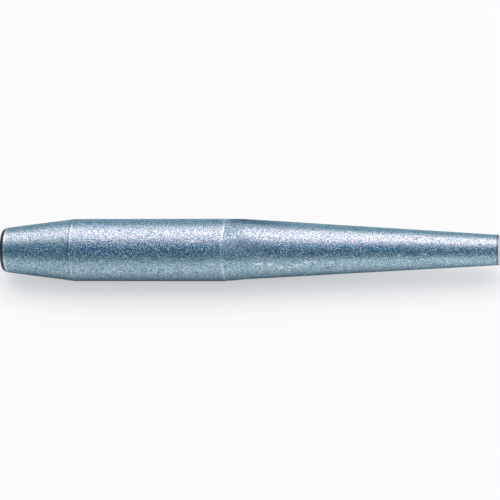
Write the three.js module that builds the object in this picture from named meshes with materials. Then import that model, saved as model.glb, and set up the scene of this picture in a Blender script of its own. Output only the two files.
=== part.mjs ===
// Line-up punch: the drift pin that is driven through bolt holes to draw steelwork into line.
// It is one bar of tool steel, with a bevelled struck head, a straight barrel that keeps the bar's
// rolled skin, and a long taper that finds the holes.
// Units are millimetres and +Z is up. The punch lies on its barrel along X, with its struck face at
// -X and its tip at +X. The origin is on the ground, under the middle of its length.

import * as THREE from 'three';

// Lengths along the axis
const overallLength = 176; // struck face to tip face
const headLength = 25.5; // struck face to the start of the barrel
const barrelLength = 54; // stretch left at the bar's full size
const struckBevelLength = 1.4; // bevel round the struck face
const shoulderLandLength = 2.4; // short straight between the barrel and the taper
const tipBevelLength = 0.5; // bevel round the tip face

// Diameters
const barrelDiameter = 22; // the bolt hole that the punch lines up
const struckFaceDiameter = 14.4; // flat that the hammer meets
const headSmallDiameter = 15.8; // head cone, where the struck bevel ends
const tipDiameter = 10.6; // taper, where the tip bevel begins
const tipFaceDiameter = 9.6; // flat end of the tip

// Turned ends lie a little below the rolled skin of the barrel
const headStep = 0.06;
const shoulderStep = 0.12;

// Rounds in the profile
const struckEdgeRadius = 0.6;
const shoulderBlendRadius = 75;
const tipEdgeRadius = 0.25;
const roundLimit = 0.95; // largest share of a side that a round may take

// Fineness of the facets
const facetsAround = 36; // a multiple of four, so that a facet lies flat on the ground
const stepsPerArc = 6;

// Colour and finish of the bare steel
const steel = new THREE.MeshStandardMaterial({ color: 0x93a6b2, roughness: 0.42, metalness: 0.95 });
steel.name = 'bare_steel';

// A corner of the profile, by its distance from the axis and from the struck face
function corner(fromAxis, fromStruckFace, round = 0) {
  return { point: new THREE.Vector2(fromAxis, fromStruckFace), round };
}

// Points of the tangent arc at a corner, which takes no more of the sides beside it than its limit
function roundPoints(before, at, after) {
  const toBefore = before.point.clone().sub(at.point);
  const toAfter = after.point.clone().sub(at.point);
  const shorterSide = Math.min(toBefore.length(), toAfter.length());
  const turnsLeft = toAfter.cross(toBefore) > 0;
  toBefore.normalize();
  toAfter.normalize();
  const halfAngle = Math.acos(toBefore.dot(toAfter)) / 2;
  const reach = Math.min(at.round / Math.tan(halfAngle), shorterSide * roundLimit);
  const radius = reach * Math.tan(halfAngle);
  const towardsCentre = toBefore.clone().add(toAfter).normalize();
  const centre = at.point.clone().addScaledVector(towardsCentre, reach / Math.cos(halfAngle));
  const start = at.point.clone().addScaledVector(toBefore, reach).sub(centre);
  const end = at.point.clone().addScaledVector(toAfter, reach).sub(centre);
  const arc = new THREE.ArcCurve(centre.x, centre.y, radius, start.angle(), end.angle(), !turnsLeft);
  return arc.getPoints(stepsPerArc);
}

// The corners in order, with the points of an arc in place of each corner that has a round
function roundedProfile(corners) {
  return corners.flatMap((at, i) => {
    return at.round > 0 ? roundPoints(corners[i - 1], at, corners[i + 1]) : [at.point];
  });
}

// Half section of the punch, from the middle of the struck face to the middle of the tip face
function punchProfile() {
  const barrelRadius = barrelDiameter / 2;
  const headLargeRadius = barrelRadius - headStep;
  const taperLargeRadius = barrelRadius - shoulderStep;
  const barrelEnd = headLength + barrelLength;
  const taperStart = barrelEnd + shoulderLandLength;
  const taperEnd = overallLength - tipBevelLength;
  return roundedProfile([
    corner(0, 0),
    corner(struckFaceDiameter / 2, 0, struckEdgeRadius),
    corner(headSmallDiameter / 2, struckBevelLength),
    corner(headLargeRadius, headLength),
    corner(barrelRadius, headLength + headStep),
    corner(barrelRadius, barrelEnd - shoulderStep),
    corner(taperLargeRadius, barrelEnd),
    corner(taperLargeRadius, taperStart, shoulderBlendRadius),
    corner(tipDiameter / 2, taperEnd),
    corner(tipFaceDiameter / 2, overallLength, tipEdgeRadius),
    corner(0, overallLength),
  ]);
}

// The bar is revolved about its axis, half a facet round, so that flats face down, up and sideways
const halfFacet = Math.PI / facetsAround;
const revolved = new THREE.LatheGeometry(punchProfile(), facetsAround, halfFacet);
const punchBody = new THREE.Mesh(revolved, steel);
punchBody.name = 'punch_body';

// Laid on its barrel: the axis of the revolve turns to +X, at the height of the barrel's flat
const axisHeight = (barrelDiameter / 2) * Math.cos(halfFacet);
punchBody.rotation.z = -Math.PI / 2;
punchBody.position.set(-overallLength / 2, 0, axisHeight);

const lineUpPunch = new THREE.Group();
lineUpPunch.name = 'line_up_punch';
lineUpPunch.add(punchBody);

export default lineUpPunch;
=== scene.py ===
import math

import bpy
import numpy as np
from mathutils import Matrix, Vector


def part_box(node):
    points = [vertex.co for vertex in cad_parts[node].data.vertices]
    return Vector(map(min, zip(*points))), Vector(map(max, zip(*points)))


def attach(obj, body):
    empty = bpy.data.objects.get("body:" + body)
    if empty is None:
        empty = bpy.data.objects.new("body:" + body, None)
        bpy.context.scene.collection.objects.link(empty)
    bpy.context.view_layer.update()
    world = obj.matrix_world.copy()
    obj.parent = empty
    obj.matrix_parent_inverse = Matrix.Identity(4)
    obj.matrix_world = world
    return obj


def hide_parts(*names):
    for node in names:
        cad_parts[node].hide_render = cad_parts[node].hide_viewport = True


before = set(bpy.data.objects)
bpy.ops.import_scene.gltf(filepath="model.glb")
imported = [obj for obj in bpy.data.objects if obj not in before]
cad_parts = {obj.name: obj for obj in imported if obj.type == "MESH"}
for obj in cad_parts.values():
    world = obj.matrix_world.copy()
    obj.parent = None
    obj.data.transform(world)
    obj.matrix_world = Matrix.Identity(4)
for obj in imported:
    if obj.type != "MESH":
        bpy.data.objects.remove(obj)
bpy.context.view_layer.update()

mm = 0.001
perMetre = 1000.0  # mm
scene = bpy.context.scene
rng = np.random.default_rng(41)  # every random draw in this file comes from here
lowest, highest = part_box("punch_body")
punchLength = (highest.x - lowest.x) / mm
barrelRadius = 11.0  # mm, the round that the solid's facets stand for
axisHeight = lowest.z + barrelRadius * mm
print("frame: punch of", round(punchLength, 2), "mm on the ground at", lowest.z)


# The camera stands off the tip end with a long lens, so the tip face just shows and the struck face hides
photoView = {
    "elevation": 42.0,  # degrees above the floor
    "turnToTip": 8.2,  # degrees from square to the bar
    "lengthsAway": 6.5,  # in lengths of the punch
    "lens": 234.55,  # mm
    "sensorWidth": 36.0,  # mm
    "aimAlong": 0.43,  # mm from the middle of the punch, towards the tip
}


def addCamera(view):
    raised = math.radians(view["elevation"])
    aside = math.asin(math.sin(math.radians(view["turnToTip"])) / math.cos(raised))
    level = math.cos(raised)
    back = Vector((math.sin(aside) * level, -math.cos(aside) * level, math.sin(raised)))
    bar = Vector((1, 0, 0))
    right = (bar - back * bar.dot(back)).normalized()  # the bar lies level in the picture
    place = Matrix((right, back.cross(right), back)).transposed().to_4x4()
    aim = Vector((view["aimAlong"] * mm, 0, axisHeight))
    place.translation = aim + back * view["lengthsAway"] * punchLength * mm
    camera = bpy.data.objects.new("photoCamera", bpy.data.cameras.new("photoCamera"))
    camera.data.sensor_width = view["sensorWidth"]
    camera.data.lens = view["lens"]
    camera.matrix_world = place
    scene.collection.objects.link(camera)
    scene.camera = camera


addCamera(photoView)
print("camera placed")


# The punch, in mm. Along is measured from the struck face, a turn in degrees from straight up to the front,
# and up in degrees from the side that faces the camera
punchBar = {
    "headLength": 25.5,  # struck face to the barrel
    "barrelLength": 54.25,  # stretch with the bar's rolled skin
    "struckBevelLength": 1.4,
    "landLength": 2.4,  # straight, between the barrel and the taper
    "tipBevelLength": 0.12,
    "struckFaceRadius": 7.2,
    "headSmallRadius": 7.9,
    "tipRadius": 5.3,
    "tipFaceRadius": 5.18,
    "headStep": 0.06,  # turned ends lie below the skin
    "shoulderStep": 0.12,
    "struckEdgeRound": 1.0,
    "bevelEdgeRound": 0.2,
    "skinEdgeRound": 0.05,
    "shoulderRound": 75.0,
    "tipBevelRound": 0.05,
    "tipEdgeRound": 0.1,
    "roundLimit": 0.45,  # largest share of a side that a round takes
    "arcSteps": 4,
    "sidesAround": 192,
    "ringSpacing": 0.4,
    "sharpAngle": 30.0,  # degrees between faces, from which an edge is crisp
}
barrelStart = punchBar["headLength"] + punchBar["headStep"]
barrelEnd = punchBar["headLength"] + punchBar["barrelLength"]
tipStart = punchLength - punchBar["tipBevelLength"]
struckBevelEnd = punchBar["struckBevelLength"]
viewTurn = 90 - photoView["elevation"]  # turn of the side that faces the camera
finishEnds = (struckBevelEnd + 0.2, barrelStart - 0.03, barrelEnd - 0.06, tipStart)  # along


# Points of a soft, worn round at a corner
def arcAt(bar, before, at, after, radius):
    toBefore = (before - at) / np.linalg.norm(before - at)
    toAfter = (after - at) / np.linalg.norm(after - at)
    half = math.acos(np.clip(toBefore @ toAfter, -1, 1)) / 2
    shortSide = min(np.linalg.norm(before - at), np.linalg.norm(after - at))
    reach = min(radius / math.tan(half), shortSide * bar["roundLimit"])
    start, end = at + toBefore * reach, at + toAfter * reach
    share = np.linspace(0, 1, bar["arcSteps"] + 1)[:, None]
    return (1 - share) ** 2 * start + 2 * share * (1 - share) * at + share**2 * end


def turnedProfile(bar):
    skin = barrelRadius
    corners = [  # along, radius, round
        (0, 0, 0),
        (0, bar["struckFaceRadius"], bar["struckEdgeRound"]),
        (struckBevelEnd, bar["headSmallRadius"], bar["bevelEdgeRound"]),
        (bar["headLength"], skin - bar["headStep"], 0),
        (barrelStart, skin, bar["skinEdgeRound"]),
        (barrelEnd - bar["shoulderStep"], skin, bar["skinEdgeRound"]),
        (barrelEnd, skin - bar["shoulderStep"], 0),
        (barrelEnd + bar["landLength"], skin - bar["shoulderStep"], bar["shoulderRound"]),
        (tipStart, bar["tipRadius"], bar["tipBevelRound"]),
        (punchLength, bar["tipFaceRadius"], bar["tipEdgeRound"]),
        (punchLength, 0, 0),
    ]
    places = [np.array(corner[:2], float) for corner in corners]
    points = []
    for i, (at, corner) in enumerate(zip(places, corners)):
        edge = corner[2]
        if edge:
            points.extend(arcAt(bar, places[i - 1], at, places[i + 1], edge))
        else:
            points.append(at)
    fine = [points[0]]
    for here in points[1:]:
        last = fine[-1]
        pieces = max(1, math.ceil(np.linalg.norm(here - last) / bar["ringSpacing"]))
        fine.extend(last + (here - last) * k / pieces for k in range(1, pieces + 1))
    return np.array(fine)


def smoothStep(low, high, value):
    share = np.clip((value - low) / (high - low), 0, 1)
    return share * share * (3 - 2 * share)


# Smooth waves from -1 to 1, with a given length along the bar and count around it
def latticeNoise(along, turns, waveLength, wavesAround):
    lattice = rng.uniform(-1, 1, (int(punchLength / waveLength) + 3, wavesAround))
    row = along / waveLength
    column = turns / 360 * wavesAround
    row0, column0 = np.floor(row).astype(int), np.floor(column).astype(int)
    rowShare = smoothStep(0, 1, row - row0)[:, None]
    columnShare = smoothStep(0, 1, column - column0)[None, :]
    column1 = (column0 + 1) % wavesAround
    near = lattice[row0][:, column0] * (1 - columnShare) + lattice[row0][:, column1] * columnShare
    far = lattice[row0 + 1][:, column0] * (1 - columnShare) + lattice[row0 + 1][:, column1] * columnShare
    return near * (1 - rowShare) + far * rowShare


# What rolling, grinding and turning left on each stretch. Each wave has a height, a length and a count around
relief = {
    "rolledSkin": {
        "begin": barrelStart - 0.1, "full": barrelStart + 0.4, "fading": barrelEnd - 0.4, "end": barrelEnd,
        "waves": [(0.012, 7.0, 11), (0.009, 1.5, 46), (0.008, 0.9, 84)],
    },
    "groundTaper": {
        "begin": barrelEnd, "full": barrelEnd + 6, "fading": tipStart - 2, "end": tipStart,
        "waves": [(0.03, 17.0, 5), (0.006, 3.0, 17)],
    },
    "turnedHead": {
        "begin": 1.5, "full": 3, "fading": barrelStart - 2, "end": barrelStart,
        "waves": [(0.006, 3.5, 13)],
    },
}


def reliefHeight(along, turns):
    height = np.zeros((len(along), len(turns)))
    for stretch in relief.values():
        here = smoothStep(stretch["begin"], stretch["full"], along)
        here = here * smoothStep(stretch["end"], stretch["fading"], along)
        for high, waveLength, wavesAround in stretch["waves"]:
            height += here[:, None] * high * latticeNoise(along, turns, waveLength, wavesAround)
    return height


# The land past the barrel is dull as far as a ragged edge: rougher, and darker in colour, which is painted
# shade set by up to fit how the light falls. A darker band painted along its top, as the camera sees it, is
# painted shade too
dullLandAndShade = {
    "edge": [  # up, mm past the barrel
        (-180, 9), (-90, 10), (-30, 12.5), (-10, 14.5), (3, 12.4), (15, 5.7), (27, 5.3), (42, 7.2),
        (66, 7.7), (110, 10), (180, 9),
    ],
    # how strongly the land is darker and rougher, by up; the darker colour is painted shade
    "strength": [  # up, dullness
        (-180, 0.5), (-90, 0.5), (-50, 0.05), (-20, 0.05), (-8, 0.6), (4, 0.7), (11, 0.5), (18, 0.25),
        (26, 0.4), (35, 0.9), (60, 1), (110, 0.8), (180, 0.5),
    ],
    "ragged": 1.5,  # how far the edge wanders
    "raggedWaves": (2.0, 30),  # length along, count around
    "softness": 2.2,  # either way of the edge
    # the haze darkens the taper less and less towards the tip: painted shade, with more roughness
    "hazeAndShade": 0.32,  # thin dullness that fades along the taper
    "hazeReach": 34.0,
    "onset": (0.3, 0.6),  # past the barrel
    # painted shade: a darker band along the top of the land, as the camera sees it
    "stainAndShade": 0.7,
    "topShadeBelow": (46, 72),  # up, from its lower edge to its full strength
    "topShadeAbove": (104, 80),  # up, from its upper edge to its full strength
    "topShadeOnset": (0.3, 5.0),  # past the barrel
    "topShadeFade": (30.0, 10.0),
}


def dullAndShadeFields(along, turns, up):
    land = dullLandAndShade
    past = along[:, None] - barrelEnd
    edge = np.interp(up, *zip(*land["edge"]))[None, :]
    edge = edge + land["ragged"] * latticeNoise(along, turns, *land["raggedWaves"])
    soft = land["softness"]
    dullAndShade = smoothStep(soft, -soft, past - edge) + land["hazeAndShade"] * smoothStep(land["hazeReach"], 0, past)
    dullAndShade = np.interp(up, *zip(*land["strength"]))[None, :] * dullAndShade
    # painted shade along the land's top
    stainAndShade = land["stainAndShade"] * smoothStep(*land["topShadeBelow"], up) * smoothStep(*land["topShadeAbove"], up)
    stainAndShade = stainAndShade[None, :] * smoothStep(*land["topShadeFade"], past) * smoothStep(*land["topShadeOnset"], past)
    return np.clip(dullAndShade, 0, 1) * smoothStep(*land["onset"], past), stainAndShade


# Nicks, rubbed patches and patches of painted shade: along, up, length, width, depth, shine (dark below 0)
nicksAndShadePatches = [
    (36.0, 12, 1.4, 1.0, 0.06, -0.8),
    (46.0, -11, 1.8, 1.1, 0.06, 1.0),
    (51.6, 7, 2.4, 1.0, 0.06, 1.0),
    (55.3, 11, 2.6, 1.0, 0.06, 0.9),
    (60.0, -5, 1.3, 1.0, 0.06, -0.8),
    (69.6, 17, 1.8, 1.3, 0.06, 1.0),
    # a broad patch with no dent lightens the barrel's end across the side facing the camera
    (76.4, -10, 8.0, 11.0, 0.0, 0.4),
    # this, the next and the patch at 97.5 are painted shade: the dark tongue where the taper's shading begins
    (87.0, 17, 9.0, 8.0, 0.0, -0.5),
    (91.6, 4, 12.0, 6.0, 0.0, -0.42),
    (92.3, -30, 4.6, 1.1, 0.06, 1.0),
    (96.6, -32, 2.4, 1.2, 0.05, 0.9),
    (97.5, -1, 14.0, 4.5, 0.0, -0.25),
    (98.1, 51, 3.6, 2.2, 0.0, -0.4),
    (100.6, -40, 1.5, 1.4, 0.08, 1.0),
    (101.8, 56, 4.6, 2.4, 0.0, -0.4),
    (103.9, -39, 3.4, 1.0, 0.04, 0.8),
    (106.7, -35, 3.4, 1.0, 0.04, 0.9),
    (109.6, -29, 3.4, 1.0, 0.04, 1.0),
    (112.9, -29, 2.0, 1.2, 0.05, 1.0),
    (116.6, 74, 2.0, 1.0, 0.12, -0.8),
    (118.2, 72, 1.3, 0.8, 0.1, -0.8),
    (118.3, -31, 2.4, 1.2, 0.06, 1.0),
    (136.8, -18, 1.2, 2.6, 0.05, 0.8),
    (141.7, -16, 2.0, 1.1, 0.05, 1.0),
    (147.2, 35, 2.6, 1.6, 0.0, -0.4),
    (150.2, -15, 3.4, 1.0, 0.06, 1.0),
    (154.4, 44, 1.2, 1.0, 0.06, -0.8),
    (157.5, 46, 1.2, 1.0, 0.06, -0.8),
    (163.2, -14, 3.2, 1.0, 0.06, 1.0),
    (169.4, -9, 3.2, 1.0, 0.06, 0.9),
    (169.3, 18, 1.4, 1.0, 0.1, -0.8),
    (171.8, -9, 1.5, 1.2, 0.07, 1.0),
    (174.2, -14, 1.6, 1.2, 0.07, 1.0),
]
shineFill = 2.5  # a nick shines over more of its width than it is deep
skinPits = {
    "count": 620,
    "radius": (0.35, 0.95),
    "depth": (0.012, 0.045),
    "narrowing": (0.7, 1),  # width for its length
    "clearance": 0.6,  # from the ends of the barrel
}


# A bowl pressed into the surface, which is left bright or dark
def pressIn(fields, grid, along, turn, length, width, depth, shine):
    ringAlong, turns, radius = grid
    rows = np.nonzero(np.abs(ringAlong - along) < length)[0]
    away = (turns - turn + 180) % 360 - 180
    across = np.radians(away)[None, :] * radius[rows][:, None]
    far = ((ringAlong[rows] - along)[:, None] / length * 2) ** 2 + (across / width * 2) ** 2
    bowl = np.clip(1 - far, 0, 1) ** 2
    fields["height"][rows] -= depth * bowl
    fields["wearAndHighlight"][rows] = np.maximum(fields["wearAndHighlight"][rows], shine * np.clip(shineFill * bowl, 0, 1))
    fields["pitAndShade"][rows] = np.maximum(fields["pitAndShade"][rows], -shine * bowl)


def pressPits(fields, grid):
    for pitAndShade in range(skinPits["count"]):
        length = 2 * rng.uniform(*skinPits["radius"])
        along = rng.uniform(barrelStart + skinPits["clearance"], barrelEnd - skinPits["clearance"])
        turn = rng.uniform(0, 360)
        depth = rng.uniform(*skinPits["depth"])
        width = length * rng.uniform(*skinPits["narrowing"])
        pressIn(fields, grid, along, turn, length, width, depth, -1)


# Dents that the hammer leaves in the struck face
hammerDents = {
    "count": 26,
    "spread": 4.6,
    "radius": (0.6, 1.5),
    "depth": (0.02, 0.06),
    "shine": 0.22,
    "burnish": 0.16,  # shine of the face between the dents
    "faceDepth": 0.01,  # rings nearer than this to the struck end are its face
}


def dentFace(fields, grid):
    ringAlong, turns, radius = grid
    rows = np.nonzero(ringAlong < hammerDents["faceDepth"])[0]
    across = radius[rows][:, None] * np.sin(np.radians(turns))[None, :]
    upward = radius[rows][:, None] * np.cos(np.radians(turns))[None, :]
    burnish = hammerDents["burnish"] * np.exp(-((radius[rows] / hammerDents["spread"]) ** 2))
    fields["wearAndHighlight"][rows] = burnish[:, None]
    for dent in range(hammerDents["count"]):
        place = rng.normal(0, hammerDents["spread"] / 2, 2)
        reach = rng.uniform(*hammerDents["radius"])
        bowl = np.clip(1 - ((across - place[0]) ** 2 + (upward - place[1]) ** 2) / reach**2, 0, 1)
        fields["height"][rows] -= rng.uniform(*hammerDents["depth"]) * bowl
        fields["wearAndHighlight"][rows] = np.maximum(fields["wearAndHighlight"][rows], hammerDents["shine"] * bowl)


# Edges rubbed bright and a little chipped, their bright lines partly wear and partly painted highlight, and
# painted shade lines beside two of them
edgeWearAndPaintedLight = {
    "bright": [  # along, reach either way, shine, share of it held back where the side facing the camera mirrors the dark room, as painted shade
        (struckBevelEnd + 0.42, 0.3, 1.0, 0.0),
        (barrelStart + 0.3, 0.22, 0.9, 0.0),
        (barrelEnd + 0.2, 0.35, 1.0, 0.65),
        (punchLength - 0.03, 0.08, 1.0, 0.0),
    ],
    # painted shade: dark lines beside the head's step and before the tip bevel
    "dark": [  # along, reach either way, darkness
        (barrelStart - 0.12, 0.2, 0.9),
        (tipStart - 0.24, 0.36, 1.0),
    ],
    "darkBandUp": -8,  # up, the middle of the side where the bright lines are held back as painted shade
    "darkBandWidth": 20,
    "chipDepth": 0.03,
    "chipWaves": (1.1, 60),  # length along, count around
    "rim": (4.9, 5.12),  # radius from which the ends wear
}


def rubEdgesAndPaintLines(fields, grid, up):
    along, turns, radius = grid
    chips = np.clip(latticeNoise(along, turns, *edgeWearAndPaintedLight["chipWaves"]), 0, 1)
    outer = smoothStep(*edgeWearAndPaintedLight["rim"], radius)
    inDarkBand = np.exp(-(((up - edgeWearAndPaintedLight["darkBandUp"]) / edgeWearAndPaintedLight["darkBandWidth"]) ** 2))
    # bright lines, partly rubbed wear and partly painted highlight, held back on the dark band as painted
    # shade
    for station, reach, shine, darkBandLoss in edgeWearAndPaintedLight["bright"]:
        near = np.exp(-(((along - station) / reach) ** 2)) * outer
        fields["wearAndHighlight"] = np.maximum(fields["wearAndHighlight"], near[:, None] * shine * (1 - darkBandLoss * inDarkBand))
        fields["height"] -= near[:, None] * edgeWearAndPaintedLight["chipDepth"] * chips
    # painted shade lines
    for station, reach, dark in edgeWearAndPaintedLight["dark"]:
        near = np.exp(-(((along - station) / reach) ** 2))
        fields["pitAndShade"] = np.maximum(fields["pitAndShade"], (near * dark)[:, None])


# Height, wear and painted highlight, pit darkness and painted shade, and dullness with its painted shade at
# every point of the bar, in this order for the random draws
def shapeFields(profile, turns):
    along, radius = profile[:, 0], profile[:, 1]
    grid = (along, turns, radius)
    up = (viewTurn - turns + 180) % 360 - 180
    height = reliefHeight(along, turns)
    dullAndShade, stainAndShade = dullAndShadeFields(along, turns, up)
    fields = {"height": height, "wearAndHighlight": np.zeros_like(height), "pitAndShade": stainAndShade, "dullAndShade": dullAndShade}
    pressPits(fields, grid)
    for at, rise, length, width, depth, shine in nicksAndShadePatches:
        pressIn(fields, grid, at, viewTurn - rise, length, width, depth, shine)
    dentFace(fields, grid)
    rubEdgesAndPaintLines(fields, grid, up)
    return fields


# The taper sits a little off the barrel's axis, upward as the camera sees it
runOut = {"atBarrel": 0.05, "most": 0.3, "mostAt": 87.0, "onset": 0.2}


def taperLift(along):
    growth = smoothStep(barrelEnd, runOut["mostAt"], along)
    lift = runOut["atBarrel"] + (runOut["most"] - runOut["atBarrel"]) * growth
    lift *= np.clip((tipStart - along) / (tipStart - runOut["mostAt"]), 0, 1)
    return lift * smoothStep(barrelEnd - runOut["onset"], barrelEnd, along)


def barPoints(rings, turns, height):
    tangent = np.gradient(rings, axis=0)
    tangent /= np.linalg.norm(tangent, axis=1)[:, None]
    along = rings[:, 0][:, None] - height * tangent[:, 1][:, None]
    radius = rings[:, 1][:, None] + height * tangent[:, 0][:, None]
    lift = taperLift(rings[:, 0])[:, None]
    liftTurn = math.radians(viewTurn - 90)
    angle = np.radians(turns)[None, :]
    across = radius * np.sin(angle) + lift * math.sin(liftTurn)
    upward = radius * np.cos(angle) + lift * math.cos(liftTurn)
    points = np.stack((along - punchLength / 2, -across, upward), axis=2).reshape(-1, 3)
    points = np.vstack((points, (-punchLength / 2, 0, 0), (punchLength / 2, 0, 0))) * mm
    points[:, 2] += axisHeight
    return points


def barFaces(ringCount, sides):
    struckMiddle, tipMiddle = ringCount * sides, ringCount * sides + 1
    ring, side = np.meshgrid(np.arange(ringCount - 1), np.arange(sides), indexing="ij")
    here, there = ring * sides + side, ring * sides + (side + 1) % sides
    quads = np.stack((here, there, there + sides, here + sides), axis=2).reshape(-1, 4)
    last = (ringCount - 1) * sides
    fans = [(struckMiddle, (k + 1) % sides, k) for k in range(sides)]
    fans += [(tipMiddle, last + k, last + (k + 1) % sides) for k in range(sides)]
    return quads.tolist() + fans


def makePunch(bar):
    sides = bar["sidesAround"]
    turns = np.arange(sides) * 360 / sides
    rings = turnedProfile(bar)[1:-1]  # the first and last points are the middles of the two faces
    fields = shapeFields(rings, turns)
    mesh = bpy.data.meshes.new("punch_bar")
    mesh.from_pydata(barPoints(rings, turns, fields["height"]).tolist(), [], barFaces(len(rings), sides))
    for name in ("wearAndHighlight", "pitAndShade", "dullAndShade"):
        values = np.append(fields[name].reshape(-1), (0, 0))
        mesh.attributes.new(name, "FLOAT", "POINT").data.foreach_set("value", values)
    middles = (rings[:-1, 0] + rings[1:, 0]) / 2
    stretch = np.repeat(np.searchsorted(finishEnds, middles), sides)
    slots = np.concatenate((stretch, np.zeros(sides, int), np.full(sides, len(finishEnds))))
    mesh.polygons.foreach_set("material_index", slots.astype(np.int32))
    mesh.shade_smooth()
    mesh.set_sharp_from_angle(angle=math.radians(bar["sharpAngle"]))
    mesh.validate()
    piece = bpy.data.objects.new("punch_bar", mesh)
    scene.collection.objects.link(piece)
    return piece


punchPiece = makePunch(punchBar)
print("punch bar:", len(punchPiece.data.polygons), "faces")


# Node helpers: a value for a socket is a number, a colour or another node's output
def feed(tree, socket, value):
    if isinstance(value, bpy.types.NodeSocket):
        tree.links.new(value, socket)
    else:
        socket.default_value = value


def addNode(tree, kind, place, inputs=None, **settings):
    node = tree.nodes.new(kind)
    node.location = place
    for name, value in settings.items():
        setattr(node, name, value)
    for name, value in (inputs or {}).items():
        feed(tree, node.inputs[name], value)
    return node


def startGroup(name, inputs, outputs):
    group = bpy.data.node_groups.new(name, "ShaderNodeTree")
    for label, value in inputs.items():
        socket = group.interface.new_socket(name=label, in_out="INPUT", socket_type="NodeSocketFloat")
        socket.default_value = value
    for label in outputs:
        group.interface.new_socket(name=label, in_out="OUTPUT", socket_type="NodeSocketFloat")
    entry = addNode(group, "NodeGroupInput", (-900, 0))
    leave = addNode(group, "NodeGroupOutput", (600, 0))
    return group, entry.outputs, leave.inputs


def maths(tree, kind, place, first, second):
    return addNode(tree, "ShaderNodeMath", place, {0: first, 1: second}, operation=kind).outputs[0]


def vectorMaths(tree, kind, place, first, second):
    return addNode(tree, "ShaderNodeVectorMath", place, {0: first, 1: second}, operation=kind).outputs[0]


def noise(tree, place, **inputs):
    return addNode(tree, "ShaderNodeTexNoise", place, inputs).outputs[0]


def mapRange(tree, place, value, given, wanted=(0, 1), kind="LINEAR"):
    inputs = {"Value": value}
    inputs["From Min"], inputs["From Max"] = given
    inputs["To Min"], inputs["To Max"] = wanted
    return addNode(tree, "ShaderNodeMapRange", place, inputs, interpolation_type=kind).outputs[0]


mixFirst, mixSecond, mixResult = 6, 7, 2  # the colour sockets of a Mix node


def mixColours(tree, place, mask, first, second, blend="MIX"):
    inputs = {"Factor": mask}
    for socket, colour in ((mixFirst, first), (mixSecond, second)):
        inputs[socket] = (*colour, 1) if isinstance(colour, tuple) else colour
    node = addNode(tree, "ShaderNodeMix", place, inputs, data_type="RGBA", blend_type=blend)
    return node.outputs[mixResult]


def ownSpot(tree, place=(-900, 300)):
    return addNode(tree, "ShaderNodeTexCoord", place).outputs["Object"]


# The spot in cells, of which there are so many to the metre along the bar and across it
def inCells(tree, along, across):
    pitch = addNode(tree, "ShaderNodeCombineXYZ", (-380, 60), {0: along, 1: across, 2: across})
    return vectorMaths(tree, "MULTIPLY", (-220, 200), ownSpot(tree), pitch.outputs[0])


def patchNoise(tree, size, detail, roughness):
    scale = maths(tree, "DIVIDE", (-700, -50), perMetre, size)
    spot = ownSpot(tree, (-900, -100))
    return noise(tree, (-500, -100), Vector=spot, Scale=scale, Detail=detail, Roughness=roughness)


# Grain of bare steel: bumps of a size in mm, masks of their hollows and peaks, a drift of tone, and a tint
def steelGrainGroup():
    inputs = {"Size": 0.4, "Stretch": 1.0, "Detail": 2.0}
    group, given, out = startGroup("steelGrain", inputs, ("Height", "Tone", "Tint", "Hollows", "Peaks"))
    masks = {"Hollows": (0.472, 0.36), "Peaks": (0.528, 0.64)}  # bumps where a mask begins and is full
    tintShift = (31.7, 12.3, 47.9)  # away from the bumps' own noise
    across = maths(group, "DIVIDE", (-700, 100), perMetre, given["Size"])
    along = maths(group, "DIVIDE", (-540, 0), across, given["Stretch"])
    spot = inCells(group, along, across)
    bumps = noise(group, (0, 250), Vector=spot, Scale=1.0, Detail=given["Detail"], Roughness=0.6)
    drift = noise(group, (0, -50), Vector=spot, Scale=0.13, Detail=3.0, Roughness=0.7)
    shifted = vectorMaths(group, "ADD", (-60, -350), spot, tintShift)
    tint = noise(group, (100, -350), Vector=shifted, Scale=1.0, Detail=1.0)
    for name, limits in masks.items():
        feed(group, out[name], mapRange(group, (250, 500 * limits[1]), bumps, limits))
    for name, value in (("Height", bumps), ("Tone", drift), ("Tint", tint)):
        feed(group, out[name], value)
    return group


# Tiny steep pits at a spacing in mm, whose walls catch the light
def pinPricksGroup():
    group, given, out = startGroup("pinPricks", {"Spacing": 0.6, "Width": 0.4}, ("Height",))
    scale = maths(group, "DIVIDE", (-700, 100), perMetre, given["Spacing"])
    cells = addNode(group, "ShaderNodeTexVoronoi", (-500, 200), {"Vector": ownSpot(group), "Scale": scale})
    wall = mapRange(group, (-250, 200), cells.outputs["Distance"], (0, given["Width"]), kind="SMOOTHSTEP")
    feed(group, out["Height"], wall)
    return group


# Tool marks that run round the bar, with a pitch in mm
def turningMarksGroup():
    group, given, out = startGroup("turningMarks", {"Pitch": 0.3, "Waver": 0.04}, ("Height",))
    along = maths(group, "DIVIDE", (-700, 100), perMetre, given["Pitch"])
    around = maths(group, "MULTIPLY", (-540, 0), along, given["Waver"])
    spot = inCells(group, along, around)
    feed(group, out["Height"], noise(group, (0, 250), Vector=spot, Scale=1.0, Detail=2.0, Roughness=0.55))
    return group


# Rings that a facing cut leaves about the axis, with a pitch in mm
def facingMarksGroup():
    group, given, out = startGroup("facingMarks", {"Pitch": 0.5}, ("Height",))
    centred = vectorMaths(group, "SUBTRACT", (-740, 300), ownSpot(group), (0, 0, axisHeight))
    flat = vectorMaths(group, "MULTIPLY", (-580, 300), centred, (0, 1, 1))
    away = addNode(group, "ShaderNodeVectorMath", (-420, 300), {0: flat}, operation="LENGTH").outputs["Value"]
    scale = maths(group, "DIVIDE", (-420, 100), perMetre, given["Pitch"])
    inputs = {"W": maths(group, "MULTIPLY", (-260, 200), away, scale), "Scale": 1.0, "Detail": 2.0}
    rings = addNode(group, "ShaderNodeTexNoise", (-100, 250), inputs, noise_dimensions="1D")
    feed(group, out["Height"], rings.outputs[0])
    return group


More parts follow.
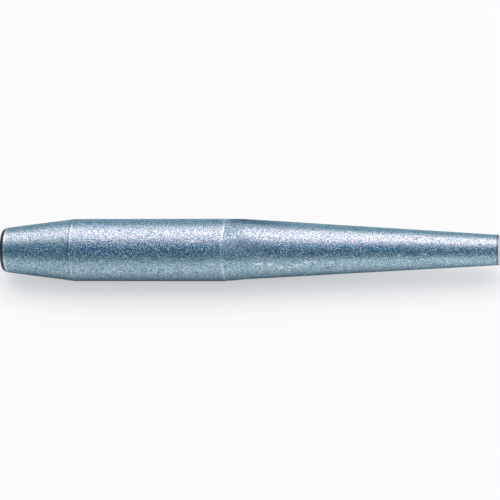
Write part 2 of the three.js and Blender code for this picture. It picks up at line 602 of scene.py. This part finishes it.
# Bright metal where an edge or a knock has rubbed the surface, with painted highlight lines at some edges,
# broken up by noise
def rubbedEdgeAndHighlightGroup():
    group, given, out = startGroup("rubbedEdgeAndHighlight", {"Amount": 1.0, "Patch Size": 0.8}, ("Mask",))
    patchEdge = (0.36, 0.6)  # noise where a patch begins and is full
    leastShine = 0.25  # left between the patches
    worn = addNode(group, "ShaderNodeAttribute", (-700, 200), attribute_name="wearAndHighlight").outputs["Fac"]
    patches = patchNoise(group, given["Patch Size"], detail=3.0, roughness=0.6)
    broken = mapRange(group, (-300, -100), patches, patchEdge, (leastShine, 1.0))
    mask = maths(group, "MULTIPLY", (-100, 100), worn, broken)
    feed(group, out["Mask"], maths(group, "MULTIPLY", (60, 100), mask, given["Amount"]))
    return group


# Dark mill scale: thin stains over the surface, and what lies in the pits, with the painted shade that the
# same attribute carries
def scaleStainAndShadeGroup():
    group, given, out = startGroup("scaleStainAndShade", {"Patch Size": 4.0, "Cover": 0.4, "In Pits": 0.5}, ("Mask",))
    patchEdge = (0.5, 0.72)  # noise where a stain begins and is full
    pitAndShade = addNode(group, "ShaderNodeAttribute", (-700, 250), attribute_name="pitAndShade").outputs["Fac"]
    patches = patchNoise(group, given["Patch Size"], detail=5.0, roughness=0.65)
    stainAndShade = mapRange(group, (-300, -100), patches, patchEdge)
    thin = maths(group, "MULTIPLY", (-120, -60), stainAndShade, given["Cover"])
    inPits = maths(group, "MULTIPLY", (-120, 200), pitAndShade, given["In Pits"])
    feed(group, out["Mask"], maths(group, "MAXIMUM", (60, 100), thin, inPits))
    return group


steelGrain = steelGrainGroup()
pinPricks = pinPricksGroup()
turningMarks = turningMarksGroup()
facingMarks = facingMarksGroup()
rubbedEdgeAndHighlight = rubbedEdgeAndHighlightGroup()
scaleStainAndShade = scaleStainAndShadeGroup()
print("node groups:", len(bpy.data.node_groups))


def placeGroup(tree, group, place, **values):
    inputs = {name.replace("_", " "): value for name, value in values.items()}
    return addNode(tree, "ShaderNodeGroup", place, inputs, node_tree=group).outputs


noiseSpan = (0.3, 0.7)  # where most of a noise's values lie
temperTints = ((0.78, 1.08, 0.95), (1.2, 0.92, 1.06))  # greenish and violet grains


def steelColour(tree, finish, grain, dullAndShade, stainAndShadeMask, wearAndHighlightMask):
    tone = mapRange(tree, (-1000, 400), grain["Tone"], noiseSpan)
    colour = mixColours(tree, (-900, 300), tone, finish["dark"], finish["light"])
    # Darker colour on the dull land: painted shade
    if dullAndShade is not None:
        colour = mixColours(tree, (-820, 450), dullAndShade, colour, finish["dullShadeColour"])
    hollows = maths(tree, "MULTIPLY", (-900, 600), grain["Hollows"], finish["hollowDark"])
    colour = mixColours(tree, (-750, 300), hollows, colour, finish["stainAndShade"])
    peaks = maths(tree, "MULTIPLY", (-900, 800), grain["Peaks"], finish["peakBright"])
    colour = mixColours(tree, (-600, 300), peaks, colour, finish["bright"])
    tint = mapRange(tree, (-900, 1000), grain["Tint"], noiseSpan)
    temper = mixColours(tree, (-750, 600), tint, *temperTints)
    colour = mixColours(tree, (-520, 500), 1.0, colour, temper, "MULTIPLY")
    colour = mixColours(tree, (-450, 300), stainAndShadeMask, colour, finish["stainAndShade"])
    return mixColours(tree, (-300, 300), wearAndHighlightMask, colour, finish["bright"])


def steelRoughness(tree, finish, fine, dullAndShade, wearAndHighlightMask):
    rough = mapRange(tree, (-700, 0), fine["Tone"], noiseSpan, finish["rough"])
    smoother = maths(tree, "MULTIPLY", (-500, -50), wearAndHighlightMask, -finish["rubbedShine"])
    rough = maths(tree, "ADD", (-400, 0), rough, smoother)
    if dullAndShade is not None:
        rougher = maths(tree, "MULTIPLY", (-400, 100), dullAndShade, finish["dullRough"])
        rough = maths(tree, "ADD", (-250, 0), rough, rougher)
    return rough


# Height in mm: grain and pricks on every finish, tool marks and rings where a finish has them
def steelHeight(tree, finish, grain, fine):
    pricks = placeGroup(
        tree, pinPricks, (-1200, 500), Spacing=finish["prickSpacing"], Width=finish["prickWidth"])
    coarse = maths(tree, "MULTIPLY", (-700, -250), grain["Height"], finish["grainDepth"])
    small = maths(tree, "MULTIPLY", (-700, -400), fine["Height"], finish["fineDepth"])
    grainy = maths(tree, "ADD", (-520, -300), coarse, small)
    marked = maths(tree, "MULTIPLY", (-700, -700), pricks["Height"], finish["prickDepth"])
    if "markDepth" in finish:
        marks = placeGroup(tree, turningMarks, (-1200, -100), Pitch=finish["markPitch"])
        lines = maths(tree, "MULTIPLY", (-700, -550), marks["Height"], finish["markDepth"])
        marked = maths(tree, "ADD", (-520, -600), lines, marked)
    height = maths(tree, "ADD", (-350, -350), grainy, marked)
    if "ringDepth" in finish:
        rings = placeGroup(tree, facingMarks, (-1200, 700), Pitch=finish["ringPitch"])
        turned = maths(tree, "MULTIPLY", (-700, -850), rings["Height"], finish["ringDepth"])
        height = maths(tree, "ADD", (-250, -500), height, turned)
    return height


def steelMaterial(name, finish):
    material = bpy.data.materials.new(name)
    material.use_nodes = True
    tree = material.node_tree
    shader = tree.nodes["Principled BSDF"]
    shader.inputs["Metallic"].default_value = 1.0
    shader.inputs["Specular Tint"].default_value = (*finish["grazing"], 1)
    grain = placeGroup(
        tree, steelGrain, (-1200, 300), Size=finish["grainSize"], Stretch=finish["grainStretch"])
    fine = placeGroup(tree, steelGrain, (-1200, 100), Size=finish["fineSize"], Stretch=1.0, Detail=1.0)
    stainAndShade = placeGroup(
        tree, scaleStainAndShade, (-1200, -300),
        Cover=finish["stainCover"], Patch_Size=finish["stainSize"], In_Pits=finish["stainInPitsAndShade"])
    rubbedAndHighlight = placeGroup(tree, rubbedEdgeAndHighlight, (-1200, -500), Amount=finish["rubbedAndHighlight"])
    dullAndShade = None
    if "dullRough" in finish:
        dullAndShade = addNode(tree, "ShaderNodeAttribute", (-1200, 700), attribute_name="dullAndShade").outputs["Fac"]
    colour = steelColour(tree, finish, grain, dullAndShade, stainAndShade["Mask"], rubbedAndHighlight["Mask"])
    feed(tree, shader.inputs["Base Color"], colour)
    feed(tree, shader.inputs["Roughness"], steelRoughness(tree, finish, fine, dullAndShade, rubbedAndHighlight["Mask"]))
    height = steelHeight(tree, finish, grain, fine)
    bumpInputs = {"Strength": 1.0, "Distance": mm, "Height": height}
    feed(tree, shader.inputs["Normal"], addNode(tree, "ShaderNodeBump", (-180, -300), bumpInputs).outputs[0])
    return material


# One finish for each stretch of the bar. Sizes, depths, pitches and spacings are in mm
# The struck end is near black, as painted shade for the dark room that its bevel mirrors
struckFinish = {
    "dark": (0.026, 0.05, 0.086),
    "light": (0.043, 0.076, 0.12),
    "stainAndShade": (0.015, 0.025, 0.05),
    "bright": (0.44, 0.52, 0.57),
    "grazing": (0.9, 0.93, 0.96),
    "rough": (0.36, 0.5),
    "grainSize": 0.5, "grainStretch": 1.0, "grainDepth": 0.08, "fineSize": 0.16, "fineDepth": 0.01,
    "prickSpacing": 0.7, "prickWidth": 0.3, "prickDepth": 0.03,
    "hollowDark": 0.3, "peakBright": 0.1, "rubbedAndHighlight": 0.9, "rubbedShine": 0.1,
    "stainCover": 0.3, "stainSize": 3.0, "stainInPitsAndShade": 0.5,
    "ringPitch": 0.7, "ringDepth": 0.04,
}
# The head is darker than the barrel's skin, partly as painted shade for the dimmer floor that its cone
# mirrors
headFinish = {
    "dark": (0.245, 0.42, 0.5),
    "light": (0.29, 0.47, 0.55),
    "stainAndShade": (0.045, 0.1, 0.17),
    "bright": (0.74, 0.86, 0.93),
    "grazing": (0.45, 0.53, 0.6),
    "rough": (0.29, 0.36),
    "grainSize": 0.34, "grainStretch": 1.1, "grainDepth": 0.07, "fineSize": 0.18, "fineDepth": 0.02,
    "prickSpacing": 0.52, "prickWidth": 0.38, "prickDepth": 0.09,
    "hollowDark": 0.9, "peakBright": 0.9, "rubbedAndHighlight": 1.0, "rubbedShine": 0.1,
    "stainCover": 0.15, "stainSize": 2.5, "stainInPitsAndShade": 0.9,
    "markPitch": 0.3, "markDepth": 0.01,
}
skinFinish = {
    "dark": (0.29, 0.45, 0.55),
    "light": (0.35, 0.52, 0.62),
    "stainAndShade": (0.06, 0.12, 0.21),
    "bright": (0.7, 0.82, 0.89),
    "grazing": (0.45, 0.53, 0.6),
    "rough": (0.2, 0.3),
    "grainSize": 0.36, "grainStretch": 1.1, "grainDepth": 0.12, "fineSize": 0.2, "fineDepth": 0.03,
    "prickSpacing": 0.56, "prickWidth": 0.4, "prickDepth": 0.085,
    "hollowDark": 0.8, "peakBright": 0.9, "rubbedAndHighlight": 0.9, "rubbedShine": 0.1,
    "stainCover": 0.3, "stainSize": 1.0, "stainInPitsAndShade": 0.5,
}
taperFinish = {
    "dark": (0.295, 0.46, 0.55),
    "light": (0.355, 0.53, 0.62),
    "stainAndShade": (0.05, 0.1, 0.18),
    "bright": (0.8, 0.92, 0.98),
    "grazing": (0.45, 0.53, 0.6),
    "rough": (0.27, 0.34),
    "grainSize": 0.34, "grainStretch": 1.1, "grainDepth": 0.07, "fineSize": 0.18, "fineDepth": 0.02,
    "prickSpacing": 0.52, "prickWidth": 0.38, "prickDepth": 0.09,
    "hollowDark": 0.9, "peakBright": 0.9, "rubbedAndHighlight": 1.0, "rubbedShine": 0.1,
    "stainCover": 0.15, "stainSize": 2.5, "stainInPitsAndShade": 0.9,
    "markPitch": 0.28, "markDepth": 0.008,
    # the dull land's darker colour is painted shade
    "dullRough": 0.25, "dullShadeColour": (0.19, 0.375, 0.485),
}
tipFinish = {
    "dark": (0.37, 0.395, 0.46),
    "light": (0.455, 0.475, 0.53),
    "stainAndShade": (0.16, 0.21, 0.28),
    "bright": (0.95, 0.95, 0.97),
    "grazing": (1.0, 0.99, 1.0),
    "rough": (0.2, 0.28),
    "grainSize": 0.42, "grainStretch": 1.0, "grainDepth": 0.06, "fineSize": 0.18, "fineDepth": 0.015,
    "prickSpacing": 0.7, "prickWidth": 0.3, "prickDepth": 0.03,
    "hollowDark": 0.5, "peakBright": 0.3, "rubbedAndHighlight": 1.0, "rubbedShine": 0.1,
    "stainCover": 0.1, "stainSize": 2.0, "stainInPitsAndShade": 0.5,
    "ringPitch": 0.6, "ringDepth": 0.05,
}
finishes = {  # in the order of finishEnds
    "struckEndSteel": struckFinish,
    "turnedHeadSteel": headFinish,
    "rolledBarrelSkin": skinFinish,
    "groundTaperSteel": taperFinish,
    "facedTipSteel": tipFinish,
}
for finishName, finish in finishes.items():
    punchPiece.data.materials.append(steelMaterial(finishName, finish))
print("finishes:", ", ".join(finishes))

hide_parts("punch_body")
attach(punchPiece, "root")


# Pale table, in metres. It glows a little where it is seen, less so close to the bar: the lost glow is a
# painted contact shadow, deeper where the steel mirrors the table
paleTable = {
    "size": 40.0,
    "colour": (0.255, 0.3, 0.305),
    "roughness": 0.9,
    "lift": 0.67,
    "contactReach": 0.014,
    "contactSeen": 0.25,  # share of the lift that is lost at the bar
    "contactInSteel": 0.95,  # the same, where the steel mirrors the table
}


def addTable(settings):
    half = settings["size"] / 2
    floorZ = min(vertex.co.z for vertex in punchPiece.data.vertices)
    corners = [(x, y, floorZ) for x, y in ((-half, -half), (half, -half), (half, half), (-half, half))]
    mesh = bpy.data.meshes.new("table")
    mesh.from_pydata(corners, [], [(0, 1, 2, 3)])
    table = bpy.data.objects.new("table", mesh)
    scene.collection.objects.link(table)
    material = bpy.data.materials.new("paleTable")
    material.use_nodes = True
    tree = material.node_tree
    shader = tree.nodes["Principled BSDF"]
    shader.inputs["Base Color"].default_value = (*settings["colour"], 1)
    shader.inputs["Roughness"].default_value = settings["roughness"]
    shader.inputs["Specular IOR Level"].default_value = 0.0
    rays = addNode(tree, "ShaderNodeLightPath", (-700, -300)).outputs
    seen = maths(tree, "MAXIMUM", (-500, -300), rays["Is Camera Ray"], rays["Is Glossy Ray"])
    seen = maths(tree, "MAXIMUM", (-340, -300), seen, rays["Is Transmission Ray"])
    # Painted contact shadow: the glow is cut where ambient occlusion finds the bar
    reach = {"Distance": settings["contactReach"]}
    sky = addNode(tree, "ShaderNodeAmbientOcclusion", (-700, -600), reach).outputs["AO"]
    contact = (settings["contactSeen"], settings["contactInSteel"])
    shade = mapRange(tree, (-500, -800), rays["Is Glossy Ray"], (0, 1), contact)
    hidden = maths(tree, "SUBTRACT", (-500, -600), 1.0, sky)
    lost = maths(tree, "MULTIPLY", (-340, -600), hidden, shade)
    clear = maths(tree, "SUBTRACT", (-180, -600), 1.0, lost)
    glow = maths(tree, "MULTIPLY", (-180, -450), clear, settings["lift"])
    strength = maths(tree, "MULTIPLY", (-250, -300), seen, glow)
    lift = addNode(tree, "ShaderNodeEmission", (-100, -300), {"Strength": strength})
    both = addNode(tree, "ShaderNodeAddShader", (150, 0), {0: shader.outputs[0], 1: lift.outputs[0]})
    feed(tree, tree.nodes["Material Output"].inputs["Surface"], both.outputs[0])
    mesh.materials.append(material)


# Dim room. A fade is the span of a direction's X, Y or Z over which a colour comes in
dimRoom = {
    "wallColour": (0.105, 0.205, 0.265),
    "backColour": (0.27, 0.5, 0.56),
    "backFade": (0.4, 0.9),
    "sideColour": (0.34, 0.38, 0.4),
    "sideFade": (0.45, 0.8),
    "ceilingColour": (0.1, 0.36, 0.56),
    "ceilingFade": (0.62, 0.92),
    "ceilingFrontFade": (-0.05, -0.35),
    "horizonColour": (0.79, 0.815, 0.83),
    "horizonRise": (0.025, 0.07),
    "horizonBackFade": (-0.6, -0.2),
}


def addRoom(room):
    world = bpy.data.worlds.new("dimRoom")
    world.use_nodes = True
    scene.world = world
    tree = world.node_tree
    towards = addNode(tree, "ShaderNodeTexCoord", (-800, 0)).outputs["Generated"]
    parts = addNode(tree, "ShaderNodeSeparateXYZ", (-600, 0), {0: towards}).outputs
    fromMiddle = maths(tree, "ABSOLUTE", (-550, -1300), parts["X"], 0.0)
    directions = {
        "horizonRise": parts["Z"],
        "horizonBackFade": parts["Y"],
        "backFade": parts["Y"],
        "ceilingFade": parts["Z"],
        "ceilingFrontFade": parts["Y"],
        "sideFade": fromMiddle,
    }
    fades = {}
    for row, (name, value) in enumerate(directions.items()):
        fades[name] = mapRange(tree, (-400, -250 * row), value, room[name], kind="SMOOTHSTEP")
    low = maths(tree, "SUBTRACT", (-350, 0), 1.0, fades["horizonRise"])
    pale = maths(tree, "MULTIPLY", (-300, -100), low, fades["horizonBackFade"])
    glow = maths(tree, "MULTIPLY", (-250, -800), fades["ceilingFade"], fades["ceilingFrontFade"])
    colour = mixColours(tree, (-250, -400), fades["backFade"], room["wallColour"], room["backColour"])
    colour = mixColours(tree, (-220, -500), fades["sideFade"], colour, room["sideColour"])
    colour = mixColours(tree, (-200, -600), glow, colour, room["ceilingColour"])
    colour = mixColours(tree, (-150, 0), pale, colour, room["horizonColour"])
    feed(tree, tree.nodes["Background"].inputs["Color"], colour)


# One big soft light overhead, and a card at the tip end, in metres
softbox = {
    "height": 4.0,
    "frontEdge": 81.0,  # degrees above the floor, from the front
    "rearEdge": 132.0,
    "length": 11.0,
    "glow": 2.65,
    "colour": (1.0, 0.67, 0.63),
    "spin": -21.0,  # degrees about the vertical
}
tipCard = {
    "away": 2.6,
    "width": 3.0,
    "height": 1.5,
    "lift": 0.02,  # clear of the table
    "glow": 0.78,
    "colour": (1, 1, 1),
}


def addSoftLight(name, place, aim, width, length, glow, colour, spin=0.0):
    lamp = bpy.data.lights.new(name, "AREA")
    lamp.shape = "RECTANGLE"
    lamp.size, lamp.size_y = width, length
    lamp.energy = glow * math.pi * width * length  # glow is its radiance
    lamp.color = colour
    light = bpy.data.objects.new(name, lamp)
    light.location = place
    facing = (Vector(place) - Vector(aim)).to_track_quat("Z", "Y").to_matrix()
    light.rotation_euler = (Matrix.Rotation(math.radians(spin), 3, "Z") @ facing).to_euler()
    scene.collection.objects.link(light)


def addLights(box, card):
    front = -box["height"] / math.tan(math.radians(box["frontEdge"]))
    rear = -box["height"] / math.tan(math.radians(box["rearEdge"]))
    middle = (front + rear) / 2
    addSoftLight("overheadSoftbox", (0, middle, box["height"]), (0, middle, 0), box["length"], rear - front,
                 box["glow"], box["colour"], box["spin"])
    cardZ = card["height"] / 2 + card["lift"]
    addSoftLight("tipEndCard", (card["away"], 0, cardZ), (0, 0, cardZ), card["width"], card["height"],
                 card["glow"], card["colour"])


addTable(paleTable)
addRoom(dimRoom)
addLights(softbox, tipCard)
scene.view_settings.view_transform = "Standard"
print("studio: table, room, softbox and card")
